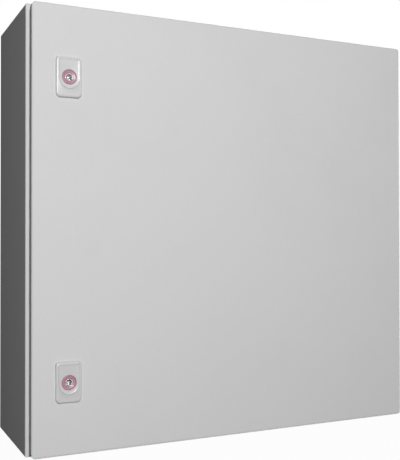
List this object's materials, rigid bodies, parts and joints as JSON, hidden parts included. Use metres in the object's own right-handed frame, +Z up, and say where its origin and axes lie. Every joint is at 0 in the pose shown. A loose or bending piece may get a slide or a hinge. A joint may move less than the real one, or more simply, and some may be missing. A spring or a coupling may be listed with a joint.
{
  "type": "wall enclosure",
  "caption": "Sheet-steel wall enclosure with a hinged door, cam locks, a foamed door seal, a rain gutter, a mounting plate and a gland plate.",
  "frame": {"origin": "centre of the rear face, on the plane of the wall", "axes": "+X to the right seen from the front, +Y back into the wall, +Z up; the door is on the -Y side"},
  "size_m": [0.6, 0.2145, 0.6],
  "materials": {
    "grey_powder_coat": "fine textured light grey powder coat",
    "zinc_sheet": "zinc-plated sheet",
    "zinc_plated": "bright zinc plate",
    "hinge_casting": "plated steel",
    "lock_core": "nickel plated",
    "copper_plated": "copper plated",
    "grey_moulding": "satin moulded plastic",
    "pink_moulding": "satin moulded plastic",
    "plug_moulding": "satin moulded plastic",
    "foam_seal": "foamed polyurethane",
    "black_rubber": "matt rubber"
  },
  "bodies": {
    "cabinet": {"body_wrapper": "grey_powder_coat", "back_panel": "grey_powder_coat", "rim_frame": "grey_powder_coat", "plate_bolts": "zinc_plated", "plate_spacers": "zinc_plated", "mounting_plate": "zinc_sheet", "plate_nuts": "zinc_plated", "gland_bolts": "zinc_plated", "gland_seal": "black_rubber", "gland_plate": "grey_powder_coat", "gland_nuts": "zinc_plated", "body_earth_bolt": "copper_plated", "body_earth_washer": "zinc_plated", "body_earth_nut": "zinc_plated", "upper_hinge_block": "hinge_casting", "lower_hinge_block": "hinge_casting", "upper_hinge_pin": "zinc_plated", "lower_hinge_pin": "zinc_plated", "hinge_screws": "zinc_plated", "hinge_hole_plugs": "plug_moulding"},
    "door": {"door_panel": "grey_powder_coat", "door_seal": "foam_seal", "left_door_strip": "grey_powder_coat", "right_door_strip": "grey_powder_coat", "upper_hinge_leaf": "hinge_casting", "lower_hinge_leaf": "hinge_casting", "door_earth_bolt": "copper_plated", "door_earth_washer": "zinc_plated", "door_earth_nut": "zinc_plated", "upper_lock_cover": "grey_moulding", "lower_lock_cover": "grey_moulding", "upper_lock_seal": "black_rubber", "lower_lock_seal": "black_rubber", "upper_lock_nut": "zinc_plated", "lower_lock_nut": "zinc_plated", "upper_lock_ring": "pink_moulding", "lower_lock_ring": "pink_moulding"},
    "upper_lock": {"upper_lock_spindle": "lock_core", "upper_lock_cam": "zinc_plated", "upper_cam_washer": "zinc_plated", "upper_cam_screw": "zinc_plated"},
    "lower_lock": {"lower_lock_spindle": "lock_core", "lower_lock_cam": "zinc_plated", "lower_cam_washer": "zinc_plated", "lower_cam_screw": "zinc_plated"}
  },
  "joints": [
    {"name": "door_hinge", "type": "hinge", "parent": "cabinet", "child": "door", "pos_m": [0.2905, -0.199, 0], "axis": [0, 0, 1], "range_deg": [0, 130]},
    {"name": "upper_lock_turn", "type": "hinge", "parent": "door", "child": "upper_lock", "pos_m": [-0.249, -0.21, 0.201], "axis": [0, 1, 0], "range_deg": [0, 90]},
    {"name": "lower_lock_turn", "type": "hinge", "parent": "door", "child": "lower_lock", "pos_m": [-0.249, -0.21, -0.201], "axis": [0, 1, 0], "range_deg": [0, 90]}
  ]
}
